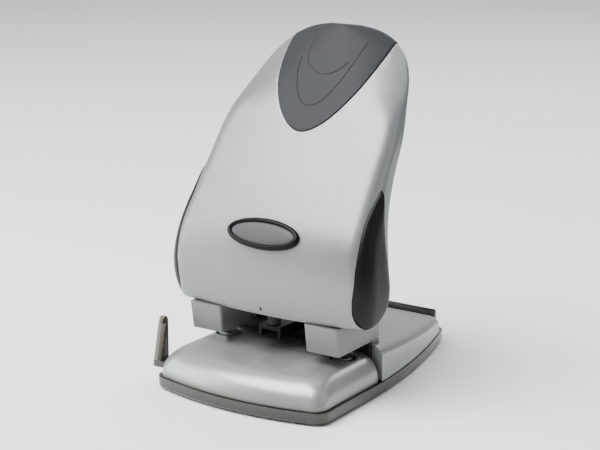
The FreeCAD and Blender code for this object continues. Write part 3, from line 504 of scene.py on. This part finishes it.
def half_section(height, inset):
    """Points (x, y) from the middle of the front to the middle of the back."""
    w = row_value(height, WIDTH) - inset
    corner_z = AXLE_Z - LOBE + LOBE_CORNER
    if height < corner_z:
        round_in = (LOBE_CORNER - inset) ** 2 - (corner_z - height) ** 2
        w = min(w, HALF_WIDTH - LOBE_CORNER + math.sqrt(max(0.0, round_in)))
    front = row_value(height, FRONT) + FRONT_LEAN * inset
    back = front + row_value(height, DEPTH) - (1 + FRONT_LEAN) * inset
    near_top = max(0.0, height - NARROWS) / (HANDLE_TOP - NARROWS)
    opening_out = (TOP_CORNER - LOW_CORNER) * min(1, near_top / OPENED) ** 2
    corner = min(LOW_CORNER + opening_out, CORNER_SHARE * w)
    flat = w - corner
    side_front, side_back = front + CROWN * (flat / HALF_WIDTH) ** 2, back
    if height < AXLE_Z:
        reach = math.sqrt(max(0.5, (LOBE - inset) ** 2 - (AXLE_Z - height) ** 2))
        side_front, side_back = max(side_front, AXLE_Y - reach), min(back, AXLE_Y + reach)
    side_round = min(SIDE_ROUND, 0.5 * (side_back - side_front))
    r = min(BACK_ROUND, 0.2 * (side_back - side_front))
    round_top = ease(height, ROUND_FROM, ROUND_FULL)
    power = 3.0 - 0.9 * ease(height, POWER_FROM, POWER_FULL)
    fall = (back - front) - r - 1.0

    def front_at(x, turn):
        crown = side_front - front
        plain = crown * (x / flat) ** 2 if x < flat else crown + turn
        return front + (1 - round_top) * plain + round_top * fall * (x / w) ** power

    points = [(x, front_at(x, 0)) for x in (flat * k / FRONT_STEPS for k in range(FRONT_STEPS + 1))]
    for k in range(1, CORNER_STEPS + 1):
        a = math.radians(90 / CORNER_STEPS * k)
        x = flat + corner * math.sin(a)
        points.append((x, front_at(x, side_round * (1 - math.cos(a)))))
    y0, y1 = points[-1][1], side_back - r
    points += [(w, y0 + (y1 - y0) * k / SIDE_STEPS) for k in range(1, SIDE_STEPS + 1)]
    for k in range(1, BACK_CORNER_STEPS + 1):
        a = math.radians(90 / BACK_CORNER_STEPS * k)
        points.append((w - r + r * math.cos(a), side_back - r + r * math.sin(a)))
    points += [((w - r) * (1 - k / BACK_STEPS), side_back + (back - side_back) * ease(k, 0, 3))
               for k in range(1, BACK_STEPS + 1)]
    return points


def handle_outline(height, inset=0.0):
    """The whole outline at one height, as points in mm."""
    half = half_section(height, inset)
    other = [(-x, y) for x, y in reversed(half[1:-1])]
    sunk = inset * (max(0.0, height - NARROWS) / (HANDLE_TOP - NARROWS)) ** 2
    return [(round(x, 3), round(y, 3), round(height - sunk, 3)) for x, y in half + other]


print("points in one outline:", len(handle_outline(100)))

# %% Extruding a tower of outlines
def tower(name, outlines):
    """A filled circle becomes the first outline, and each later one is extruded from it."""
    fresh()
    bpy.ops.mesh.primitive_circle_add(vertices=len(outlines[0]), fill_type="NGON")
    piece = bpy.context.object
    piece.name = piece.data.name = name
    bpy.ops.object.mode_set(mode="EDIT")
    bpy.ops.mesh.select_mode(type="FACE")
    mesh = bmesh.from_edit_mesh(piece.data)
    mesh.verts.ensure_lookup_table()
    for vertex, point in zip(mesh.verts, outlines[0]):
        vertex.co = Vector(point) * MM
    for before, after in zip(outlines, outlines[1:]):
        bpy.ops.mesh.extrude_region_move()
        mesh = bmesh.from_edit_mesh(piece.data)
        goes = {tuple(round(c * 1000) for c in p): Vector(q) * MM for p, q in zip(before, after)}
        for vertex in mesh.verts:
            if vertex.select:
                vertex.co = goes[tuple(round(c * 1000) for c in vertex.co / MM)]
    bmesh.update_edit_mesh(piece.data)
    outward(piece)
    return piece


LOWEST = 46.2
HEIGHTS = ([LOWEST, 47, 48, 49.2, 50.6, 52.2, 54, 56, 58.5, 61, 64, 67, 70.5, 74]
           + list(range(78, 184, 4))
           + [185.5, 188.5, 191, 193.3, 195.4, 197.3, 199, 200.4, 201.5, 202.4, 203, HANDLE_TOP])
CAP_Y, CAP_SHARE, CAP_RISE = 61.7, 0.4, 0.02


def handle_tower(name, inset=0.0, low=LOWEST):
    """The handle's form as one solid, drawn in by an inset, from a height up."""
    cap = [(round(x * CAP_SHARE, 3), round(CAP_Y + (y - CAP_Y) * CAP_SHARE, 3), round(z + CAP_RISE, 3))
           for x, y, z in handle_outline(HANDLE_TOP, inset)]
    return tower(name, [handle_outline(h, inset) for h in HEIGHTS if h >= low] + [cap])


shell = handle_tower("handle_shell_skin")
print("handle skin:", len(shell.data.polygons), "faces")

# %% [markdown]
# ## Hollowing the handle
# The real handle is a thin-walled moulding, open underneath and at the back. Cutting is done with
# solids: the same tower made smaller is the hollow, and blocks open the underside and the back.
# A block is a cube stretched between two corners.

# %% Cutting with solids
def cut(piece, tool, operation="DIFFERENCE"):
    """Cuts the piece with a solid, and removes the solid."""
    modify(piece, "BOOLEAN", operation=operation, object=tool, solver="EXACT")
    bpy.data.objects.remove(tool)


def block(low, high):
    """A cube between two corners, in mm."""
    fresh()
    middle = [(a + b) / 2 * MM for a, b in zip(low, high)]
    bpy.ops.mesh.primitive_cube_add(size=1, location=middle)
    bpy.context.object.scale = [(b - a) * MM for a, b in zip(low, high)]
    bpy.ops.object.transform_apply(location=True, rotation=True, scale=True)
    return bpy.context.object


def prism(outline, start, end, axis="y"):
    """An outline, as pairs in mm, extruded along Y (pairs are x, z) or along X (pairs are y, z)."""
    def at(depth):
        if axis == "y":
            return [(round(a, 3), round(depth, 3), round(b, 3)) for a, b in outline]
        return [(round(depth, 3), round(a, 3), round(b, 3)) for a, b in outline]
    return tower("prism", [at(start), at(end)])


FAR = 160.0  # past every side of the handle


def rear_side(share=0.55):
    """Everything behind a share of the handle's thickness."""
    heights = [66, 80, 95, 112, 130, 148, 163, 177, 187, 193]
    line = [(row_value(h, FRONT) + share * row_value(h, DEPTH), h) for h in heights]
    return prism(line + [(150, heights[-1]), (150, heights[0])], -120, 120, "x")


OPEN_HALF, WALL = 52.0, 2.8
UNDERSIDE, REAR_UNDERSIDE = 48.0, 73.0
cut(shell, handle_tower("cavity", WALL, UNDERSIDE))
cut(shell, block((-OPEN_HALF, -60, 30), (OPEN_HALF, 60, UNDERSIDE)))
cut(shell, block((-OPEN_HALF, AXLE_Y + 4, 30), (OPEN_HALF, 60, REAR_UNDERSIDE)))
print("hollow handle:", len(shell.data.polygons), "faces")

# %% The back opening and its cover
BACK_LOW, BACK_KNEE, BACK_HIGH = 76, 140, 190
BACK_HALF_LOW, BACK_HALF_HIGH = OPEN_HALF - 4, 35.2
COVER_GAP, COVER_SUNK, COVER_WALL_IN = 0.35, 0.6, 2.6


def back_outline(inset):
    """The opening in the back, seen from behind."""
    low, high = BACK_HALF_LOW - inset, BACK_HALF_HIGH - inset
    return [(-low, BACK_LOW + inset), (low, BACK_LOW + inset), (low, BACK_KNEE),
            (high, BACK_HIGH - inset), (-high, BACK_HIGH - inset), (-low, BACK_KNEE)]


opening = prism(back_outline(0), -60, FAR)
cut(opening, rear_side(), "INTERSECT")
cut(shell, opening)

back_cover = handle_tower("back_cover", COVER_SUNK, 67)
cut(back_cover, handle_tower("inner", COVER_WALL_IN, 67))
cover_form = prism(back_outline(COVER_GAP), -60, FAR)
cut(cover_form, rear_side(0.6), "INTERSECT")
cut(back_cover, cover_form, "INTERSECT")
round_edges(back_cover, 0.4)
print("back cover:", len(back_cover.data.polygons), "faces")

# %% [markdown]
# ## The grip pad
# A shield of soft rubber is let into the top of the handle. Its outline is cut from the handle's
# own shape, a little larger for the recess and a little smaller for the pad, so that a thin dark
# joint runs all round it. The pad stands a third of a millimetre proud and its edge is rounded.

# %% Recess and pad
PAD_LINE = [(0, 147.3), (8.4, 149.7), (16.2, 155.4), (22.8, 163), (28.5, 172), (32.2, 181),
            (34.5, 190), (35.5, 198), (36.2, 215)]
PAD_CENTRE, PAD_STEPS = Vector((0, 190)), 6
PAD_DEPTH, PAD_PROUD, PAD_GAP = 1.9, 0.35, 0.85


def curve_through(points, steps):
    """More points along a smooth curve through the given ones."""
    made = []
    for i in range(len(points) - 1):
        p0, p1, p2, p3 = (Vector(points[max(0, min(len(points) - 1, i + k))])
                          for k in (-1, 0, 1, 2))
        for s in range(steps):
            t = s / steps
            bend, twist = 2 * p0 - 5 * p1 + 4 * p2 - p3, 3 * p1 - p0 - 3 * p2 + p3
            made.append(0.5 * (2 * p1 + (p2 - p0) * t + bend * t * t + twist * t ** 3))
    return made + [Vector(points[-1])]


def shield(inset):
    """The pad's outline, drawn in by the inset."""
    before_first = (-PAD_LINE[1][0], PAD_LINE[1][1])
    half = curve_through([before_first] + PAD_LINE, PAD_STEPS)[PAD_STEPS:]
    right = [p + (PAD_CENTRE - p).normalized() * inset for p in half]
    right[-1].y = PAD_LINE[-1][1]
    return [(p.x, p.y) for p in right] + [(-p.x, p.y) for p in reversed(right[1:])]


def pad_form(inset):
    """The part of the handle's skin inside the shield, down to the recess floor."""
    form = prism(shield(inset), -60, FAR)
    cut(form, rear_side(0.75))
    cut(form, handle_tower("floor_form", PAD_DEPTH, 130))
    return form


cut(shell, pad_form(0.0))
pad = handle_tower("pad", -PAD_PROUD, 130)
cut(pad, pad_form(PAD_GAP), "INTERSECT")
round_edges(pad, 0.5, 3)
print("pad:", len(pad.data.polygons), "faces")

# %% [markdown]
# ## The side inserts
# A black teardrop covers each lower lobe. It is round about the axle and runs up to a soft tip.
# The outline is extruded in ever smaller loops, each a little further out, which gives the domed
# form. The handle has a recess of the same outline with a narrow joint.

# %% Teardrop outline and where the side surface lies
TEAR = [(6.4, 122.6), (-2.0, 114.2), (-10.2, 103.8), (-16.4, 93.2), (-20.3, 82), (-22.0, 70.3),
        (-21.8, 61.5), (-20.2, 54.8), (-17.0, 49.9), (-12.4, 47.4), (-6.8, 47.1), (-1.2, 49.0),
        (3.0, 52.8), (5.2, 58.6), (5.7, 66), (5.7, 75), (5.4, 86), (5.2, 97), (5.6, 108),
        (6.6, 117), (7.2, 122.2)]
TEAR_MIDDLE, TEAR_STEPS = Vector((-6.5, 80)), 4
TIP_FROM, TIP_EXTRA, NEAREST = 30, 1.25, 0.97
SIDE_FRONT, SIDE_LOW = -24.5, 47.5  # the side is measured no further out than this


def side_at(y, z):
    """How far out the handle's side is at a depth and height."""
    corner = half_section(z, 0)[FRONT_STEPS:FRONT_POINTS]
    for (x0, y0), (x1, y1) in zip(corner[2:], corner[3:]):
        if y <= y1:
            return x0 + (x1 - x0) * max(0.0, y - y0) / (y1 - y0)
    return corner[-1][0]


def over_side(side, y, z, height):
    """A point at a height over the handle's side."""
    y, z = round(y, 3), round(z, 3)
    return round(side * (side_at(max(y, SIDE_FRONT), max(z, SIDE_LOW)) + height), 3), y, z


def tear_loop(side, inset, height):
    """The teardrop drawn in by the inset, more near its tip, over the handle's side."""
    loop = []
    for p in curve_through(TEAR + TEAR[:1], TEAR_STEPS)[:-1]:
        toward = TEAR_MIDDLE - p
        extra = 1.0 if toward.length < TIP_FROM else TIP_EXTRA
        q = p + toward * min(NEAREST, inset / toward.length * extra)
        loop.append(over_side(side, q.x, q.y, height))
    return loop


print("side at the axle:", round(side_at(AXLE_Y, AXLE_Z), 1), "mm")

# %% Recess and insert on both sides
DOME = [  # inset, height
    (0.5, -1.5), (0.5, 0.05), (0.62, 0.4), (0.95, 0.75), (1.6, 1.1), (2.6, 1.4), (4.2, 1.65),
    (6.5, 1.75)]
CLOSING, DOME_TOP = (0.75, 0.5, 0.25), 1.8
RECESS_DEPTH = 1.7


def insert_form(side):
    """Loops up and over the dome, then ever smaller ones that close it."""
    loops = [tear_loop(side, inset, height) for inset, height in DOME]
    last = loops[-1]
    for share in CLOSING:
        loops.append([over_side(side, TEAR_MIDDLE.x + (y - TEAR_MIDDLE.x) * share,
                                TEAR_MIDDLE.y + (z - TEAR_MIDDLE.y) * share, DOME_TOP)
                      for _, y, z in last])
    return tower("insert", loops)


inserts = {}
for side, word in ((-1, "left"), (1, "right")):
    cut(shell, tower("recess", [tear_loop(side, 0.0, -RECESS_DEPTH), tear_loop(side, 0.0, 6.0)]))
    inserts[word] = insert_form(side)
print("inserts:", [len(p.data.polygons) for p in inserts.values()])

# %% [markdown]
# ## Lines and a mark
# Two thin raised lines curve over the pad. Each is a curve with a round section, laid on the pad's
# surface and turned into a mesh, because a curve keeps such a long thin shape even. A small plain
# mark on the handle's lower edge shows the middle, where the paper is centred.

# %% Raised lines on the pad
# %% Raised lines on the pad
def front_y(x, z):
    """Depth of the handle's front at a place seen from the front."""
    half = half_section(z, 0)[:FRONT_POINTS]
    for (x0, y0), (x1, y1) in zip(half, half[1:]):
        if abs(x) <= x1:
            return y0 + (y1 - y0) * (abs(x) - x0) / (x1 - x0)
    return half[-1][1]


BEAD_RADIUS, BEAD_OUT = 0.42, 0.32


def raised_line(points):
    """A round bead along a smooth line on the pad, made from a curve."""
    path = bpy.data.curves.new("bead", "CURVE")
    path.dimensions, path.bevel_depth, path.bevel_resolution = "3D", BEAD_RADIUS * MM, 2
    path.use_fill_caps = True
    line = path.splines.new("POLY")
    smooth_points = curve_through(points, 8)
    line.points.add(len(smooth_points) - 1)
    for spot, p in zip(line.points, smooth_points):
        spot.co = (p.x * MM, (front_y(p.x, p.y) - BEAD_OUT) * MM, p.y * MM, 1)
    bead = bpy.data.objects.new("bead", path)
    bpy.context.scene.collection.objects.link(bead)
    fresh(bead)
    bpy.ops.object.convert(target="MESH")
    return bpy.context.object


INNER_LINE = [(-13.2, 196.5), (-14.4, 190.5), (-11.5, 182.9), (-5.0, 179.2), (2.2, 177.9),
              (9.6, 180.1), (15.0, 185.3)]
OUTER_LINE = [(20.9, 195.5), (18.4, 186), (15, 176.5), (10.4, 168.2), (6, 163.6), (0.6, 161.4),
              (-5.2, 162.5), (-11, 167.5), (-16, 176.6), (-18.2, 185.1)]
beads = [raised_line(INNER_LINE), raised_line(OUTER_LINE)]
fresh(pad, *beads)
bpy.ops.object.join()
print("pad with its lines:", len(pad.data.polygons), "faces")

# %% A plain centre mark on the lower edge
MARK_Y = front_y(0, 52)
tick = prism([(-1.6, 53.6), (1.6, 53.6), (0, 50.2)], MARK_Y - 0.12, MARK_Y + 0.6)
modify(tick, "BEVEL", width=0.05 * MM, segments=1)
settle(tick, "centre_mark", "handle", black_plastic)

# %% Finish the handle's skin
round_edges(shell, 0.35, degrees=42)
settle(shell, "handle_skin", "handle", handle_paint, "handle_shell")
settle(back_cover, "handle_back", "handle", back_plastic, "handle_back_cover")
settle(pad, "grip_shield", "handle", grip_rubber, "grip_pad")
for word, insert in inserts.items():
    settle(insert, "teardrop_" + word, "handle", black_plastic, "side_insert_" + word)

# %% [markdown]
# ## Cast and moulded pieces with soft edges
# The heads, rear cover, tray, guide and stops have the right form in the frame, but their edges are
# knife sharp, and no casting or moulding comes out like that. A copy of each is welded, its flat
# faces are joined, and a bevel rounds every edge.

# %% Rounding the edges of frame pieces
WELD, FLAT = 0.01, 0.6  # in mm and degrees


def soften(node, width, finish):
    """A welded copy of a frame piece, its sharp edges rounded by a width in mm."""
    piece = bpy.data.objects.new(node + "_soft", frame["nodes"][node].data.copy())
    bpy.context.scene.collection.objects.link(piece)
    fresh(piece)
    bpy.ops.mesh.customdata_custom_splitnormals_clear()
    bpy.ops.object.mode_set(mode="EDIT")
    bpy.ops.mesh.select_all(action="SELECT")
    bpy.ops.mesh.remove_doubles(threshold=WELD * MM)
    bpy.ops.mesh.dissolve_limited(angle_limit=math.radians(FLAT))
    bpy.ops.object.mode_set(mode="OBJECT")
    round_edges(piece, width, 3, 32)
    settle(piece, node + "_soft", body_of_node[node], finish, node)


soften("punch_head_left", 1.1, head_paint)
soften("punch_head_right", 1.1, head_paint)
soften("rear_cover", 0.4, base_paint)
soften("chip_tray", 0.35, smoked_plastic)
soften("paper_guide", 0.7, smoked_rule)
soften("lever_stop", 0.4, black_steel)
soften("back_stop", 0.3, black_steel)
soften("lever_frame", 0.3, steel)

# %% [markdown]
# ## The paper table
# The front cover is the paper table. Its top is flat only at the back: in front it falls away in a
# long soft curve, and the sides do the same in a shorter one. So each outline, going up, is drawn
# in more at the front than at the sides. The hollow is the same tower again, a wall smaller.

# %% Front cover
COVER_RISE = [  # height, drawn in at the front, drawn in at the sides
    (7.9, 0, 0), (10, 0.3, 0.1), (12.5, 1.0, 0.4), (15, 2.1, 0.9), (17, 3.5, 1.7),
    (18.8, 5.2, 2.8), (20.4, 7.3, 4.0), (21.7, 9.8, 5.4), (22.7, 12.6, 7.0), (23.5, 15.8, 8.8),
    (24.05, 19.4, 10.8), (24.3, 23.0, 13.0), (24.4, 27.0, 16.0)]
COVER_HALF, COVER_FRONT, COVER_BACK = 56.8, -55.6, 12.0
COVER_CORNER, CORNER_GROWTH, FRONT_BOW = 9.0, 0.25, 356
COVER_WALL, COVER_FOOT = 2.2, 1.5


def cover_outline(z, front_in, side_in, back):
    """The cover's outline at one height, drawn in at the front and at the sides."""
    w, r = COVER_HALF - side_in, COVER_CORNER + CORNER_GROWTH * side_in
    points = [(x, COVER_FRONT + front_in + x * x / FRONT_BOW)
              for x in ((w - r) * k / 12 for k in range(13))]
    x0, y0 = points[-1]
    for k in range(1, 10):
        a = math.radians(10 * k)
        points.append((x0 + r * math.sin(a), y0 + r * (1 - math.cos(a))))
    y1 = points[-1][1]
    points += [(w, y1 + (back - y1) * k / 8) for k in range(1, 9)]
    points += [(w * (1 - k / 8), back) for k in range(1, 9)]
    whole = points + [(-x, y) for x, y in reversed(points[1:-1])]
    return [(round(x, 3), round(y, 3), round(z, 3)) for x, y in whole]


def inside_outline(z, front_in, side_in):
    """The hollow's outline, a wall inside the cover's, and through its open foot."""
    lower = COVER_FOOT if z == COVER_RISE[0][0] else COVER_WALL
    return cover_outline(z - lower, front_in + COVER_WALL, side_in + COVER_WALL,
                         COVER_BACK - COVER_WALL)


cover = tower("front_cover_skin", [cover_outline(*row, COVER_BACK) for row in COVER_RISE])
cut(cover, tower("hollow", [inside_outline(*row) for row in COVER_RISE]))
print("cover shell:", len(cover.data.polygons), "faces")

# %% Openings in the cover
TONGUE_SLOT = (-54, 9, 14.7), (54, 12.6, 18.3)
BAR_GAP, DIE_GAP = 0.3, 0.1
cut(cover, block(*TONGUE_SLOT))
bar_low, bar_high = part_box("paper_guide")
cut(cover, block((-62, bar_low.y / MM - BAR_GAP, 7.0), (-45, bar_high.y / MM + BAR_GAP, 12.9)))
for name in ("die_left", "die_right"):
    low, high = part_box(name)
    fresh()
    bpy.ops.mesh.primitive_cylinder_add(
        vertices=64, radius=(high.x - low.x) / 2 + DIE_GAP * MM, depth=12 * MM,
        location=((low.x + high.x) / 2, (low.y + high.y) / 2, 24 * MM))
    cut(cover, bpy.context.object)
round_edges(cover, 0.35)
settle(cover, "paper_table", "base", table_paint, "front_cover")

# %% [markdown]
# ## The badge
# The oval badge is a glossy black ring with a slightly domed grey plate inside it. It carries no
# name here. Each is an oval extruded in loops, first up the outside, then over and down inside.

# %% Badge ring and plate
LEAN, BADGE_Z, OVAL_STEPS = math.radians(32), 95, 72
BADGE_SPOT = Vector((0, row_value(BADGE_Z, FRONT), BADGE_Z)) * MM
BADGE_PLACE = Matrix.Translation(BADGE_SPOT) @ Matrix.Rotation(-LEAN, 4, "X")


def oval_loop(long, short, out):
    """An oval in the badge's own frame: X across, Z up the slope, and out towards the front."""
    return [(round(long * math.cos(a), 3), round(-out, 3), round(short * math.sin(a), 3))
            for a in (2 * math.pi * k / OVAL_STEPS for k in range(OVAL_STEPS))]


def badge_piece(name, loops, finish, node):
    """An oval extruded from loop to loop, put on the leaning front of the handle."""
    piece = tower(name, [oval_loop(*loop) for loop in loops])
    piece.data.transform(BADGE_PLACE)
    settle(piece, name, "handle", finish, node, degrees=50)


badge_piece("badge_ring", [
    (24.3, 9.0, -1.5), (24.5, 9.2, 0.25), (24.3, 9.0, 0.75), (23.8, 8.55, 1.2), (23.2, 8.0, 1.5),
    (22.6, 7.5, 1.6), (22.1, 7.1, 1.5), (21.7, 6.8, 1.2), (21.5, 6.6, 0.6)],
    black_gloss, "badge_bezel")
badge_piece("badge_oval", [
    (21.3, 6.4, -1.0), (21.3, 6.4, 0.5), (21.0, 6.2, 0.75), (20.0, 5.6, 0.95), (16.6, 4.4, 1.15),
    (12.0, 3.0, 1.25), (6.0, 1.4, 1.3)],
    badge_grey, "badge_plate")

# %% [markdown]
# ## Return springs
# Each pin is lifted again by a coil spring of round steel wire. One turn of the wire's section
# round the spring's axis, with a rise, is a coil, so a screw modifier makes it from a small circle.

# %% Two coil springs
TURNS, TURN_STEPS, SPRING_R, WIRE_R = 4.5, 26, 4.3, 0.45
SPRING_LOW, SPRING_HIGH, SPRING_SEAT = 40.5, 53.4, 40.0


def coil_spring(name, x, node):
    """A coil round its pin, riding on the base."""
    fresh()
    bpy.ops.mesh.primitive_circle_add(
        vertices=12, radius=WIRE_R * MM, location=(SPRING_R * MM, 0, SPRING_LOW * MM),
        rotation=(math.pi / 2, 0, 0), fill_type="NOTHING")
    piece = bpy.context.object
    bpy.ops.object.transform_apply(location=True, rotation=True, scale=True)
    steps = int(TURNS * TURN_STEPS)
    modify(piece, "SCREW", axis="Z", angle=2 * math.pi * TURNS, iterations=1,
           screw_offset=(SPRING_HIGH - SPRING_LOW) * MM, steps=steps, render_steps=steps)
    fresh(piece)
    bpy.ops.object.mode_set(mode="EDIT")
    bpy.ops.mesh.select_all(action="SELECT")
    bpy.ops.mesh.fill_holes(sides=0)
    bpy.ops.object.mode_set(mode="OBJECT")
    outward(piece)
    piece.data.transform(Matrix.Translation((x * MM, 0, 0)))
    settle(piece, name, "base", steel, node)
    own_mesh(piece)


coil_spring("spring_coil_left", -40, "return_spring_left")
coil_spring("spring_coil_right", 40, "return_spring_right")
